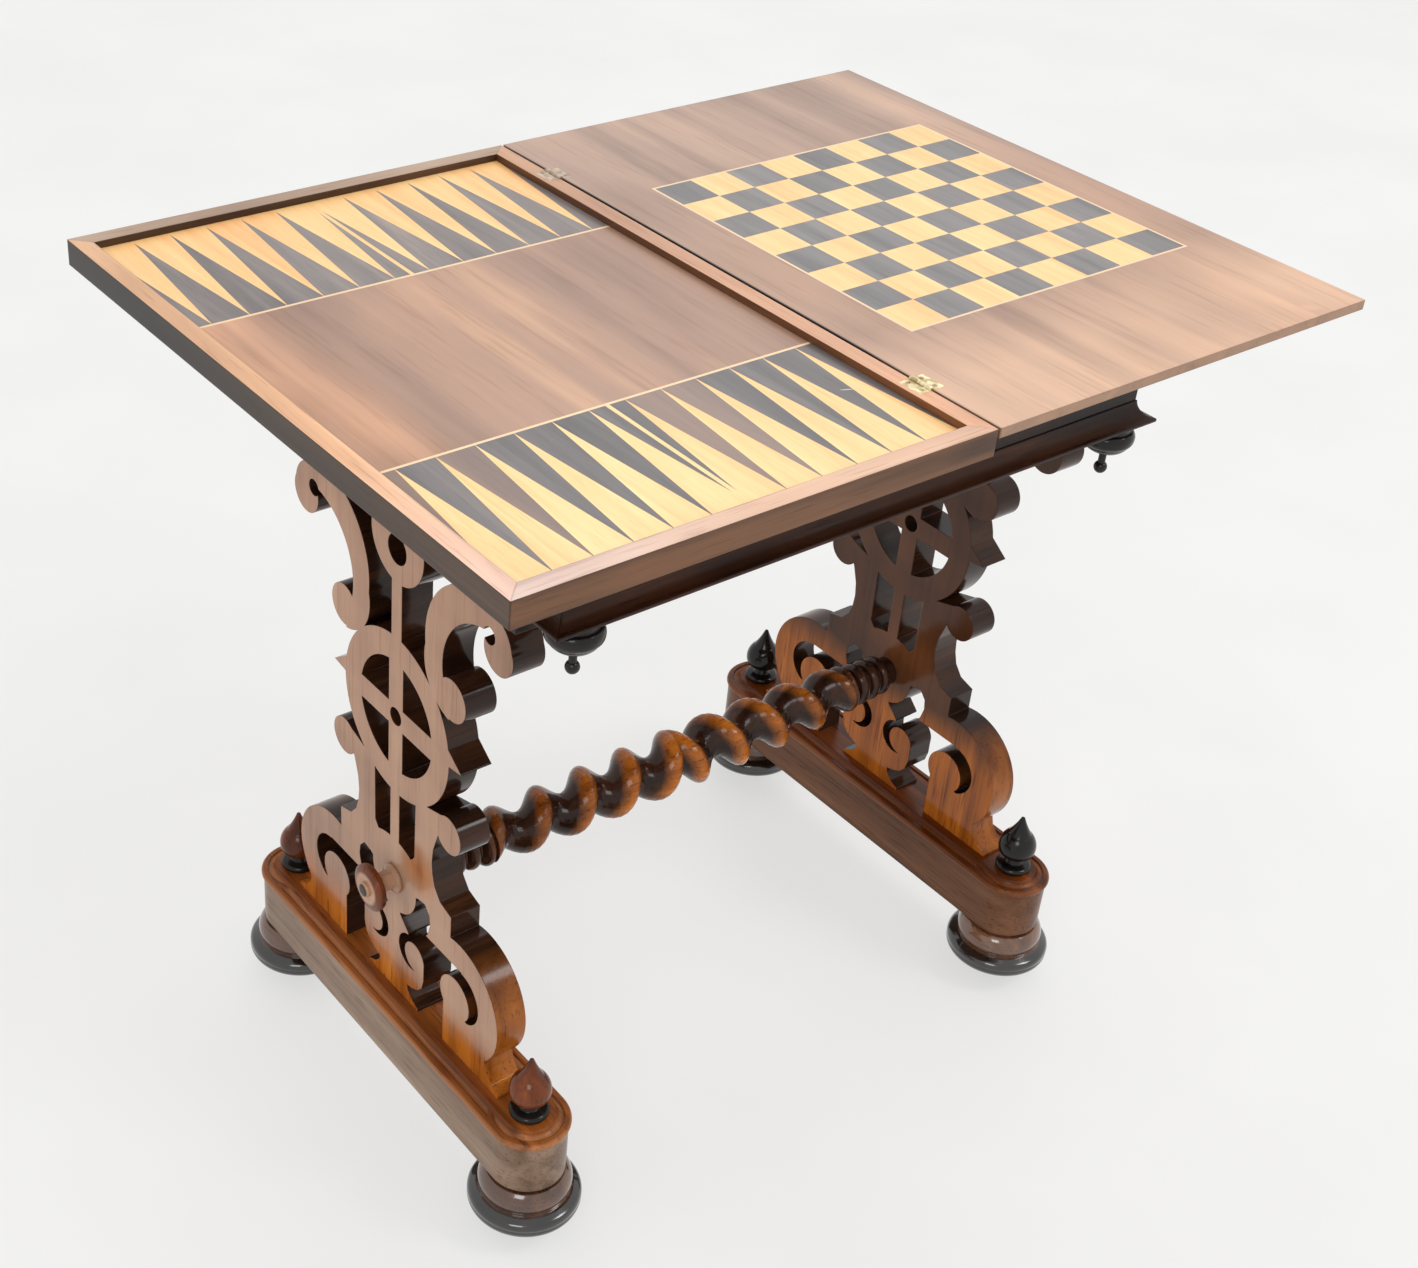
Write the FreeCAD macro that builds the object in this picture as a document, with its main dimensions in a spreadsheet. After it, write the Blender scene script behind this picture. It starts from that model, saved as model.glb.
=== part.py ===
import FreeCAD, Part
import math
import os
import Sketcher
from FreeCAD import Placement, Rotation, Vector

# Fold-over games table with a swivel top, shown open.
# X runs along the stretcher, Y across it, Z up from the floor under the middle of the open top.
doc = FreeCAD.newDocument("games_table")

# Driving dimensions in millimetres
size = {
    # open top: tray half at minus X, leaf half at plus X
    "top_height": 720,
    "half_depth": 406,
    "top_width": 592,
    "seam_gap": 2.4,
    "tray_thickness": 21,
    "tray_recess": 6,
    "rim_width": 15,
    "leaf_thickness": 8,
    "fold_gap": 0.3,
    # brass hinges let into both halves at the seam
    "hinge_inset": 76,
    "hinge_width": 22,
    "hinge_reach": 12,
    "hinge_thickness": 2,
    "knuckle_radius": 2,
    "knuckle_gap": 0.2,
    "hinge_pin_radius": 1,
    "running_clearance": 0.05,
    # swivel bolt between the tray and the frieze
    "bolt_radius": 6,
    "bolt_tail": 3,
    "swivel_plate_side": 60,
    "swivel_plate_thickness": 3,
    "washer_radius": 15,
    "washer_thickness": 1.5,
    "nut_radius": 11,
    "nut_height": 8,
    "swivel_rail_width": 60,
    "swivel_rail_thickness": 22,
    # frieze box under the top
    "frieze_inset": 9,
    "frieze_height": 98,
    "rail_thickness": 20,
    "cove_flare": 14,
    "cove_height": 17,
    "cove_lip": 2.5,
    "cove_edge": 1,
    "well_board_thickness": 6,
    "well_board_lift": 3,
    "corner_block_side": 24,
    "corner_block_height": 70,
    # drops under the frieze corners
    "drop_inset_long": 17,
    "drop_inset_short": 7,
    "drop_radius": 22,
    "drop_length": 48.5,
    # pierced end supports
    "stand_inset": 7,
    "fret_inset": 34,
    "fret_proportion": 2.85,
    "fret_thickness": 28,
    "bearer_least": 25,
    "bearer_width": 34,
    "bearer_inset": 38,
    # twisted stretcher
    "stretcher_share": 0.7625,
    "tenon_radius": 10,
    "twist_crest_radius": 29,
    "twist_valley_radius": 11,
    "twist_pitch": 47.5,
    "stretcher_end": 62,
    "stretcher_end_radius": 20,
    "stud_radius": 20.5,
    "stud_length": 31,
    # foot bars
    "foot_margin": 22,
    "bar_half_width": 33,
    "bar_height": 58,
    "bar_plinth_half_width": 22,
    "finial_radius": 17.3,
    "finial_height": 60,
    # turned feet on concealed castors
    "foot_clearance": 21,
    "foot_height": 41,
    "flange_radius": 47.5,
    "castor_cavity_radius": 27,
    "castor_cavity_depth": 18,
    "castor_wheel_radius": 11,
    "castor_wheel_width": 10,
    "castor_trail": 10,
    "castor_axle_radius": 2,
    "castor_eye_radius": 4,
    "castor_stem_radius": 4,
    "castor_stem_length": 18,
    "castor_crown_radius": 9,
    "castor_crown_thickness": 3,
    "castor_crown_gap": 0.3,
    "castor_arm_thickness": 2.5,
    "castor_side_gap": 0.4,
    "socket_radius": 8,
    "socket_depth": 20,
    "socket_flange_radius": 14,
    "socket_flange_thickness": 2,
    # extra length of a cutting shape past the face it cuts
    "overrun": 4,
}

# Levels and places that follow from the driving dimensions
derived = {
    "frieze_top": "top_height - tray_thickness",
    "frieze_base": "top_height - tray_thickness - frieze_height",
    "frieze_half_long": "top_width / 2 - frieze_inset",
    "frieze_half_short": "half_depth / 2 - frieze_inset",
    "fold_height": "top_height + fold_gap / 2",
    "swivel_place": "half_depth / 4",
    "bar_base": "foot_clearance + foot_height",
    "fret_base": "foot_clearance + foot_height + bar_height",
    "support_height": "frieze_base - fret_base",
    "fret_half_width": "min(half_depth / 2 - frieze_inset - fret_inset;"
                       " (support_height - bearer_least) / fret_proportion)",
    "fret_height": "fret_half_width * fret_proportion",
    "fret_top": "fret_base + fret_height",
    "bearer_thickness": "support_height - fret_height",
    "bearer_half_length": "half_depth / 2 - frieze_inset - bearer_inset",
    "stand_half_span": "top_width / 2 - frieze_inset - stand_inset",
    "foot_half_spacing": "fret_half_width + foot_margin",
    "stretcher_height": "fret_base + fret_half_width * stretcher_share",
    "hinge_offset": "top_width / 2 - hinge_inset",
    "socket_base": "foot_clearance + castor_cavity_depth - socket_flange_thickness",
    "crown_base": "foot_clearance + castor_cavity_depth - socket_flange_thickness"
                  " - castor_crown_gap - castor_crown_thickness",
    "arm_offset": "castor_wheel_width / 2 + castor_side_gap",
}

sheet = doc.addObject("Spreadsheet::Sheet", "sizes")
for row, (alias, content) in enumerate(list(size.items()) + list(derived.items()), 1):
    sheet.set(f"A{row}", alias)
    sheet.set(f"B{row}", f"={content}" if alias in derived else str(content))
    sheet.setAlias(f"B{row}", alias)
doc.recompute()
length_of = {alias: float(getattr(sheet, alias)) for alias in list(size) + list(derived)}

sub_parts = []


def words_of(text):
    return text.replace("(", " ( ").replace(")", " ) ").split()


def formula(text):
    return " ".join(f"sizes.{word}" if word in length_of else word for word in words_of(text))


def number(text):
    known = " ".join(f"({length_of[word]})" if word in length_of else word for word in words_of(text))
    return FreeCAD.Units.Quantity(known).Value


def bind(obj, **texts):
    for name, text in texts.items():
        obj.setExpression(name.replace("__", "."), formula(text))
    return obj


def place(obj, x="0", y="0", z="0", turn=None):
    obj.Placement = Placement(Vector(), turn or Rotation())
    return bind(obj, Placement__Base__x=x, Placement__Base__y=y, Placement__Base__z=z)


def finish(label, obj):
    obj.Label = label
    sub_parts.append(obj)


def box(length, width, height, x="0", y="0", z="0"):
    block = doc.addObject("Part::Box", "box")
    return place(bind(block, Length=length, Width=width, Height=height), x, y, z)


def centred_box(length, width, height, x="0", y="0", z="0"):
    return box(length, width, height, f"{x} - ({length}) / 2", f"{y} - ({width}) / 2", z)


along_x = Rotation(Vector(0, 1, 0), 90)
along_y = Rotation(Vector(1, 0, 0), -90)


def rod(radius, length, x="0", y="0", z="0", turn=None):
    bar = doc.addObject("Part::Cylinder", "rod")
    return place(bind(bar, Radius=radius, Height=length), x, y, z, turn)


def joined(pieces):
    fuse = doc.addObject("Part::MultiFuse", "joined")
    fuse.Shapes = pieces
    fuse.Refine = True
    return fuse


def grouped(pieces):
    group = doc.addObject("Part::Compound", "group")
    group.Links = pieces
    return group


def cut(piece, *tools):
    result = doc.addObject("Part::Cut", "cut")
    result.Base = piece
    result.Tool = tools[0] if len(tools) == 1 else joined(list(tools))
    result.Refine = True
    return result


def overlap(first, second):
    common = doc.addObject("Part::Common", "overlap")
    common.Base = first
    common.Tool = second
    common.Refine = True
    return common


# Closed outline of points (x, y, bulge): the bulge is the rise of the arc that ends there over its chord.
def draw(sketch, points):
    spots = [Vector(number(x), number(y), 0) for x, y, bulge in points]
    edges = []
    for i, (x, y, bulge) in enumerate(points):
        start = spots[i - 1]
        end = spots[i]
        chord = end - start
        middle = (start + end) / 2 + Vector(chord.y, -chord.x, 0) * bulge
        edges.append(Part.Arc(start, middle, end) if bulge else Part.LineSegment(start, end))
    ids = sketch.addGeometry(edges, False)
    for i, (x, y, bulge) in enumerate(points):
        following = ids[(i + 1) % len(ids)]
        end_side = nearest_side(sketch, ids[i], spots[i])
        start_side = nearest_side(sketch, following, spots[i])
        sketch.addConstraint(Sketcher.Constraint("Coincident", ids[i], end_side, following, start_side))
        for kind, text in (("DistanceX", x), ("DistanceY", y)):
            rule = Sketcher.Constraint(kind, -1, 1, ids[i], end_side, number(text))
            sketch.setExpression(f"Constraints[{sketch.addConstraint(rule)}]", formula(text))


def nearest_side(sketch, edge, spot):
    return min((1, 2), key=lambda side: sketch.getPoint(edge, side).distanceToPoint(spot))


def body_sketch(body, role, points, offset="0"):
    sketch = body.newObject("Sketcher::SketchObject", "profile")
    plane = next(feature for feature in body.Origin.OriginFeatures if feature.Role == role)
    sketch.AttachmentSupport = [(plane, "")]
    sketch.MapMode = "FlatFace"
    bind(sketch, AttachmentOffset__Base__z=offset)
    draw(sketch, points)
    return sketch


def revolve(body, sketch):
    turning = body.newObject("PartDesign::Revolution", "turning")
    turning.Profile = sketch
    turning.ReferenceAxis = (sketch, ["V_Axis"])
    turning.Angle = 360
    return turning


# Outline points from shares of a radius and of a height
def shared(radius, height, shares):
    return [(f"{radius} * {r}", f"{height} * {h}", bulge) for r, h, bulge in shares]


def turned(label, points, x, y, z, turn=None):
    body = doc.addObject("PartDesign::Body", label)
    revolve(body, body_sketch(body, "XZ_Plane", points))
    finish(label, place(body, x, y, z, turn))


def extrude(sketch, length):
    run = doc.addObject("Part::Extrusion", "run")
    run.Base = sketch
    run.DirMode = "Normal"
    run.Solid = True
    return bind(run, LengthFwd=length)


# Upright prism on a plan outline
def prism(points, height, z):
    sketch = doc.addObject("Sketcher::SketchObject", "plan")
    draw(sketch, points)
    bind(sketch, Placement__Base__z=z)
    return extrude(sketch, height)


def straight(points):
    return [(x, y, 0) for x, y in points]


sides = {"left": "-1", "right": "1"}
corners = {
    "near_left": ("-1", "-1"),
    "near_right": ("1", "-1"),
    "far_left": ("-1", "1"),
    "far_right": ("1", "1"),
}

# Feet: a brown bun on a wide flange, hollow underneath for the castor
foot_shares = [
    (0.92, 0, 0), (1, 0.20, 0.2), (0.93, 0.38, 0.2), (0.86, 0.42, 0), (0.80, 0.44, 0),
    (0.70, 0.91, 0.18), (0.62, 0.92, 0), (0.62, 1, 0), (0, 1, 0),
]
socket_bore = "( socket_radius + running_clearance )"
foot_outline = straight([
    ("0", "castor_cavity_depth + socket_depth"),
    (socket_bore, "castor_cavity_depth + socket_depth"),
    (socket_bore, "castor_cavity_depth"),
    ("castor_cavity_radius", "castor_cavity_depth"),
    ("castor_cavity_radius", "0"),
]) + shared("flange_radius", "foot_height", foot_shares)

finial_shares = [
    (0, 0, 0), (0.78, 0, 0), (0.78, 0.11, 0.45), (0.50, 0.13, 0), (0.40, 0.20, 0), (0.47, 0.24, 0),
    (1, 0.38, 0.16), (0.62, 0.68, 0.13), (0.10, 0.98, -0.03), (0, 1, 0),
]
finial_outline = shared("finial_radius", "finial_height", finial_shares)

# Bar section: an upright side, a bead along its top edge, a narrow flat and a step up to the plinth
bar_shares = [(1, 0, 0), (1, 0.83, 0), (1, 0.95, 0.32), (0.88, 0.95, 0), (0.88, 0.92, 0), (0.79, 0.92, 0)]
bar_edge = shared("bar_half_width", "bar_height", bar_shares)
bar_edge += [("bar_plinth_half_width", "bar_height", -0.12)]
bar_bulges = [bulge for x, y, bulge in bar_edge]
bar_back = [(f"0 - {x}", y, bulge) for (x, y, b), bulge in zip(bar_edge[::-1], [0] + bar_bulges[:0:-1])]
bar_half = [("0", "0", 0)] + bar_edge + [("0", "bar_height", 0)]


def foot_bar(label, x):
    body = doc.addObject("PartDesign::Body", label)
    middle = body.newObject("PartDesign::Pad", "middle")
    middle.Profile = body_sketch(body, "XZ_Plane", bar_edge + bar_back)
    middle.SideType = "Symmetric"
    bind(middle, Length="2 * foot_half_spacing")
    end = revolve(body, body_sketch(body, "XZ_Plane", bar_half, "foot_half_spacing"))
    mirror = body.newObject("PartDesign::Mirrored", "far_end")
    mirror.Originals = [end]
    plane = next(feature for feature in body.Origin.OriginFeatures if feature.Role == "XZ_Plane")
    mirror.MirrorPlane = (plane, [""])
    body.Tip = mirror
    finish(label, place(body, x, "0", "bar_base"))


for side, sign in sides.items():
    foot_bar(f"foot_bar_{side}", f"{sign} * stand_half_span")

for corner, (sign_x, sign_y) in corners.items():
    foot_x = f"{sign_x} * stand_half_span"
    foot_y = f"{sign_y} * foot_half_spacing"
    turned(f"foot_{corner}", foot_outline, foot_x, foot_y, "foot_clearance")
    turned(f"finial_{corner}", finial_outline, foot_x, foot_y, "fret_base")

# Castors: a brass socket in the foot, and a fork with a riveted axle that swivels in it
sockets = []
for corner, (sign_x, sign_y) in corners.items():
    x = f"{sign_x} * stand_half_span"
    y = f"{sign_y} * foot_half_spacing"
    wheel_y = f"{y} - castor_trail"
    cup = rod("socket_radius", "socket_depth + socket_flange_thickness", x, y, "socket_base")
    flange = rod("socket_flange_radius", "socket_flange_thickness", x, y, "socket_base")
    bore = rod("castor_stem_radius + running_clearance", "socket_depth", x, y, "socket_base - overrun / 2")
    sockets.append(cut(joined([cup, flange]), bore))

    stem = rod("castor_stem_radius", "castor_stem_length", x, y, "crown_base")
    crown = rod("castor_crown_radius", "castor_crown_thickness", x, y, "crown_base")
    arm_depth = "castor_trail + castor_eye_radius"
    arm_height = "crown_base + castor_crown_thickness / 2 - castor_wheel_radius"
    axle_length = "2 * arm_offset + 2 * castor_arm_thickness"
    axle_z = "castor_wheel_radius"
    pieces = [stem, crown]
    for start in ("arm_offset", "0 - arm_offset - castor_arm_thickness"):
        arm_x = f"{x} + {start}"
        pieces.append(box("castor_arm_thickness", arm_depth, arm_height, arm_x, wheel_y, axle_z))
        pieces.append(rod("castor_eye_radius", "castor_arm_thickness", arm_x, wheel_y, axle_z, along_x))
    axle_x = f"{x} - ({axle_length}) / 2"
    pieces.append(rod("castor_axle_radius", axle_length, axle_x, wheel_y, axle_z, along_x))
    finish(f"castor_fork_{corner}", joined(pieces))

    wheel_x = f"{x} - castor_wheel_width / 2"
    wheel = rod("castor_wheel_radius", "castor_wheel_width", wheel_x, wheel_y, axle_z, along_x)
    hole_x = f"{wheel_x} - overrun / 2"
    hole_radius = "castor_axle_radius + running_clearance"
    hole = rod(hole_radius, "castor_wheel_width + overrun", hole_x, wheel_y, axle_z, along_x)
    finish(f"castor_wheel_{corner}", cut(wheel, hole))
finish("castor_sockets", grouped(sockets))

# Pierced supports, scroll-sawn from one board each.
# Rounds are (place across, height, radius) and blocks (from, to, from height, to height), with places and
# radii as shares of the half width and heights as shares of the fret's height.
cup_shares = (0, 0.983, 0.225)
cup_hole_shares = (0, 0.968, 0.080)
ring_shares = (0, 0.630, 0.469)
ring_hole_shares = (0, 0.630, 0.322)
hub_hole_shares = (0, 0.630, 0.050)
stem_shares = (-0.044, 0.044, 0.77, 0.95)
spoke_shares = [(-0.0625, 0.0625, 0.50, 0.76), (-0.40, 0.40, 0.607, 0.653)]
arch_shares = (0, 0.2265, 0.375)
arch_hole_shares = (0, 0.2265, 0.294)
arch_clip_shares = (-0.30, 0.30, 0.288, 0.40)
centre_bar_shares = (-0.041, 0.041, 0.32, 0.49)
boss_radius_share = 0.206
scroll_outer_shares = (0.700, 0.855, 0.454)
scroll_clip_shares = (0.15, 0.74, 0.80, 1.0)
scroll_top_shares = (0.762, 0.940, 0.169)
scroll_lower_shares = (0.500, 0.813, 0.259)
scroll_lower_clip_shares = (0.15, 0.46, 0.60, 1.0)
scroll_inner_shares = (0.771, 0.825, 0.3775)
scroll_round_shares = [(0.830, 0.932, 0.1125), (0.478, 0.767, 0.1156)]
scroll_notch_shares = (0.757, 0.952, 0.045)
lobe_shares = (0.481, 0.483, 0.106)
spur_shares = [(0.44, 0.627), (0.575, 0.634), (0.44, 0.667)]
leg_shares = [
    (0.19, 0.49), (0.44, 0.515), (0.42, 0.48), (0.385, 0.455), (0.352, 0.42), (0.343, 0.39),
    (0.35, 0.365), (0.372, 0.34), (0.425, 0.318), (0.525, 0.308), (0.525, 0.24), (0.64, 0.24),
    (0.64, 0.207), (0.315, 0.207), (0.34, 0.24), (0.332, 0.262), (0.29, 0.278), (0.225, 0.274),
    (0.15, 0.26), (0.15, 0.345), (0.185, 0.36),
]
big_scroll_shares = (0.604, 0.1417, 0.352)
big_crescent_shares = (0.630, 0.150, 0.156)
big_gap_shares = (0.20, 0.63, -0.02, 0.207)
big_curl_shares = (0.575, 0.130, 0.131)
big_foot_shares = [
    (0.475, 0), (0.985, 0), (0.985, 0.006), (0.92, 0.015), (0.87, 0.035), (0.85, 0.06),
    (0.85, 0.10), (0.475, 0.10),
]
small_body_shares = [
    (-0.02, 0), (0.24, 0), (0.24, 0.006), (0.18, 0.015), (0.14, 0.03), (0.135, 0.04), (0.175, 0.043),
    (0.235, 0.053), (0.273, 0.068), (0.289, 0.09), (0.289, 0.125), (0.14, 0.125), (0.14, 0.169),
    (0.06, 0.195), (0.06, 0.25), (-0.02, 0.25),
]
small_crescent_shares = (0.160, 0.128, 0.108)
small_curl_shares = (0.200, 0.125, 0.090)


def fret(label, x):
    face = f"{x} - fret_thickness / 2"

    def across(share):
        return f"fret_half_width * ({share})"

    def up(share):
        return f"fret_base + fret_height * ({share})"

    def disc(shares):
        y, z, radius = shares
        return rod(across(radius), "fret_thickness", face, across(y), up(z), along_x)

    def block(shares):
        start, end, low, high = shares
        height = f"fret_height * {high - low}"
        return box("fret_thickness", across(end - start), height, face, across(start), up(low))

    def plate(shares):
        sketch = doc.addObject("Sketcher::SketchObject", "plate")
        draw(sketch, straight([(across(y), up(z)) for y, z in shares]))
        place(sketch, face, turn=Rotation(Vector(0, 1, 0), Vector(0, 0, 1), Vector(1, 0, 0), "ZXY"))
        return extrude(sketch, "fret_thickness")

    scroll_body = joined([
        overlap(disc(scroll_outer_shares), block(scroll_clip_shares)),
        disc(scroll_top_shares),
        overlap(disc(scroll_lower_shares), block(scroll_lower_clip_shares)),
    ])
    scroll = cut(scroll_body, disc(scroll_inner_shares), disc(scroll_notch_shares))
    curl = cut(disc(scroll_round_shares[0]), disc(scroll_notch_shares))
    big_scroll = cut(disc(big_scroll_shares), disc(big_crescent_shares), block(big_gap_shares))
    small_scroll = cut(plate(small_body_shares), disc(small_crescent_shares))
    half = joined(
        [scroll, curl, disc(scroll_round_shares[1]), big_scroll, small_scroll, disc(lobe_shares)]
        + [plate(shares) for shares in (spur_shares, leg_shares, big_foot_shares)]
        + [disc(big_curl_shares), disc(small_curl_shares)]
    )
    other_half = doc.addObject("Part::Mirroring", "other_half")
    other_half.Source = half
    other_half.Normal = Vector(0, 1, 0)
    ring = cut(disc(ring_shares), disc(ring_hole_shares))
    arch = overlap(cut(disc(arch_shares), disc(arch_hole_shares)), block(arch_clip_shares))
    boss = rod(across(boss_radius_share), "fret_thickness", face, "0", "stretcher_height", along_x)
    bars = [block(shares) for shares in [stem_shares, centre_bar_shares] + spoke_shares]
    whole = joined([half, other_half, ring, arch, boss, disc(cup_shares)] + bars)
    top = box("fret_thickness + overrun", "2 * fret_half_width", "fret_half_width",
              f"{face} - overrun / 2", "0 - fret_half_width", "fret_top")
    tenon_hole = rod("tenon_radius + running_clearance", "fret_thickness + overrun",
                     f"{face} - overrun / 2", "0", "stretcher_height", along_x)
    finish(label, cut(whole, top, tenon_hole, disc(hub_hole_shares), disc(cup_hole_shares)))


for side, sign in sides.items():
    fret(f"fret_{side}", f"{sign} * stand_half_span")
    bearer = centred_box("bearer_width", "2 * bearer_half_length", "bearer_thickness",
                         f"{sign} * stand_half_span", "0", "fret_top")
    finish(f"bearer_{side}", bearer)

# Stretcher: a section with one broad ridge and one narrow valley, turned once per pitch, the hand reversed
# at the middle, with ringed ends and a tenon into each support
sections_per_turn = 12
points_per_section = 24
ridge_power = 0.85
middle_turn = -0.2 * math.pi
taper_share = 0.16
ring_shares_along = [
    (1, 0, 0), (1, 0.13, 0.30), (0.70, 0.17, 0), (0.70, 0.21, 0), (0.92, 0.38, 0.35), (0.70, 0.42, 0),
    (0.70, 0.46, 0), (0.92, 0.60, 0.35), (0.70, 0.64, 0), (0.70, 0.68, 0), (0.90, 0.80, 0.35),
    (0.66, 0.84, 0), (0.70, 1, 0),
]


def twist_section(x, half):
    turn = middle_turn + 2 * math.pi * abs(x) / length_of["twist_pitch"]
    valley = length_of["twist_valley_radius"]
    crest = length_of["twist_crest_radius"] * (1 - taper_share * (x / half) ** 2)
    spots = []
    for step in range(points_per_section):
        angle = 2 * math.pi * step / points_per_section
        rise = ((1 + math.cos(angle - turn)) / 2) ** ridge_power
        radius = valley + (crest - valley) * rise
        spots.append(Vector(x, -radius * math.sin(angle), radius * math.cos(angle)))
    section = Part.BSplineCurve()
    section.interpolate(spots, PeriodicFlag=True)
    return Part.Wire(section.toShape())


def ringed_end(start, sign):
    radius = length_of["stretcher_end_radius"]
    length = length_of["stretcher_end"]
    tenon = length_of["tenon_radius"]
    spots = [Vector(0, 0, 0)]
    edges = []
    for r, along, bulge in ring_shares_along:
        end = Vector(length * along, 0, radius * r)
        chord = end - spots[-1]
        middle = (end + spots[-1]) / 2 + Vector(-chord.z, 0, chord.x) * bulge
        edges.append(Part.Arc(spots[-1], middle, end).toShape() if bulge else Part.makeLine(spots[-1], end))
        spots.append(end)
    tail = [Vector(length, 0, tenon), Vector(length + length_of["fret_thickness"], 0, tenon),
            Vector(length + length_of["fret_thickness"], 0, 0), spots[0]]
    for spot in tail:
        edges.append(Part.makeLine(spots[-1], spot))
        spots.append(spot)
    end = Part.Face(Part.Wire(edges)).revolve(Vector(), Vector(1, 0, 0), 360)
    end.translate(Vector(start, 0, 0))
    return end if sign > 0 else end.mirror(Vector(), Vector(1, 0, 0))


inner_face = length_of["stand_half_span"] - length_of["fret_thickness"] / 2
twist_half = inner_face - length_of["stretcher_end"]
count = math.ceil(sections_per_turn * twist_half / length_of["twist_pitch"])
places = [twist_half * step / count for step in range(-count, count + 1)]
twist = Part.makeLoft([twist_section(x, twist_half) for x in places], True, True)
stretcher = doc.addObject("Part::Feature", "stretcher")
stretcher.Shape = twist.multiFuse([ringed_end(twist_half, 1), ringed_end(twist_half, -1)])
finish("stretcher", place(stretcher, z="stretcher_height"))

stud_shares = [
    (0, 0, 0), (0.62, 0, 0), (0.62, 0.10, 0.3), (0.42, 0.16, 0), (0.42, 0.52, 0), (0.90, 0.62, -0.1),
    (1, 0.72, 0.25), (0.95, 0.84, 0.25), (0.62, 0.89, 0.03), (0.30, 0.87, 0), (0.20, 1, 0.3), (0, 1, 0),
]
for side, sign in sides.items():
    turned(f"stretcher_stud_{side}", shared("stud_radius", "stud_length", stud_shares),
           f"{sign} * ( stand_half_span + fret_thickness / 2 )", "0", "stretcher_height",
           Rotation(Vector(0, 1, 0), 90 * int(sign)))

# Frieze box: four rails, mitred cove mouldings, corner blocks and the board under the well
inner_long = "( frieze_half_long - rail_thickness )"
inner_short = "( frieze_half_short - rail_thickness )"
for name, start in (("near", "0 - frieze_half_short"), ("far", inner_short)):
    rail = box("2 * frieze_half_long", "rail_thickness", "frieze_height",
               "0 - frieze_half_long", start, "frieze_base")
    finish(f"frieze_rail_{name}", rail)
for name, start in (("left", "0 - frieze_half_long"), ("right", inner_long)):
    rail = box("rail_thickness", f"2 * {inner_short}", "frieze_height",
               start, f"0 - {inner_short}", "frieze_base")
    finish(f"frieze_rail_{name}", rail)
finish("well_board", centred_box(f"2 * {inner_long}", f"2 * {inner_short}", "well_board_thickness",
                                 z="frieze_base + well_board_lift"))

cove_bulge_share = -0.18


def cove(label, reach, half_run, quarter_turns):
    turn = Rotation(Vector(0, 0, 1), 90 * quarter_turns)
    sketch = doc.addObject("Sketcher::SketchObject", "section")
    draw(sketch, [
        (reach, "frieze_base", 0),
        (f"{reach} + cove_flare", "frieze_base", 0),
        (f"{reach} + cove_flare", "frieze_base + cove_lip", 0),
        (f"{reach} + cove_edge", "frieze_base + cove_height", cove_bulge_share),
        (reach, "frieze_base + cove_height", 0),
    ])
    outward = Rotation(Vector(0, -1, 0), Vector(0, 0, 1), Vector(-1, 0, 0), "ZXY")
    sketch.Placement = Placement(Vector(), turn.multiply(outward))
    run = extrude(sketch, f"2 * ( {half_run} + cove_flare )")
    run.Symmetric = True
    mitre = prism(straight([
        (f"0 - {half_run}", f"0 - {reach}"),
        (f"0 - {half_run} - cove_flare", f"0 - {reach} - cove_flare"),
        (f"{half_run} + cove_flare", f"0 - {reach} - cove_flare"),
        (half_run, f"0 - {reach}"),
    ]), "frieze_height", "frieze_base")
    mitre.Placement = Placement(Vector(), turn)
    finish(label, overlap(run, mitre))


cove("cove_near", "frieze_half_short", "frieze_half_long", 0)
cove("cove_right", "frieze_half_long", "frieze_half_short", 1)
cove("cove_far", "frieze_half_short", "frieze_half_long", 2)
cove("cove_left", "frieze_half_long", "frieze_half_short", 3)

well_top = "frieze_base + well_board_lift + well_board_thickness"
blocks = []
for sign_x, sign_y in corners.values():
    corner_x = f"{sign_x} * {inner_long}"
    corner_y = f"{sign_y} * {inner_short}"
    blocks.append(prism(straight([
        (corner_x, corner_y),
        (f"{corner_x} - {sign_x} * corner_block_side", corner_y),
        (corner_x, f"{corner_y} - {sign_y} * corner_block_side"),
    ]), "corner_block_height", well_top))
finish("corner_blocks", grouped(blocks))

drop_shares = [
    (0, 0, 0), (0.25, 0.113, 0.2), (0.14, 0.21, 0.13), (0.14, 0.39, 0), (0.22, 0.41, 0), (0.30, 0.45, 0),
    (0.88, 0.61, 0.15), (1, 0.72, 0.12), (0.90, 0.86, 0.12), (0.80, 0.88, 0), (0.80, 1, 0), (0, 1, 0),
]
for corner, (sign_x, sign_y) in corners.items():
    drop_x = f"{sign_x} * ( frieze_half_long - drop_inset_long )"
    drop_y = f"{sign_y} * ( frieze_half_short - drop_inset_short )"
    drop_outline = shared("drop_radius", "drop_length", drop_shares)
    turned(f"drop_{corner}", drop_outline, drop_x, drop_y, "frieze_base - drop_length")

# Swivel: a bolt fixed to a plate let into the tray, turning in a cross rail and held by a washer and nut
swivel_x = "0 - swivel_place"
swivel_y = "0 - swivel_place"
swivel_rail_base = "frieze_top - swivel_rail_thickness"
bolt_hole = "bolt_radius + running_clearance"


def bolted(solid, height, base):
    return cut(solid, rod(bolt_hole, f"{height} + overrun", swivel_x, swivel_y, f"{base} - overrun / 2"))


cross_rail = centred_box("swivel_rail_width", f"2 * {inner_short}", "swivel_rail_thickness",
                         swivel_x, "0", swivel_rail_base)
finish("swivel_rail", bolted(cross_rail, "swivel_rail_thickness", swivel_rail_base))

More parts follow.
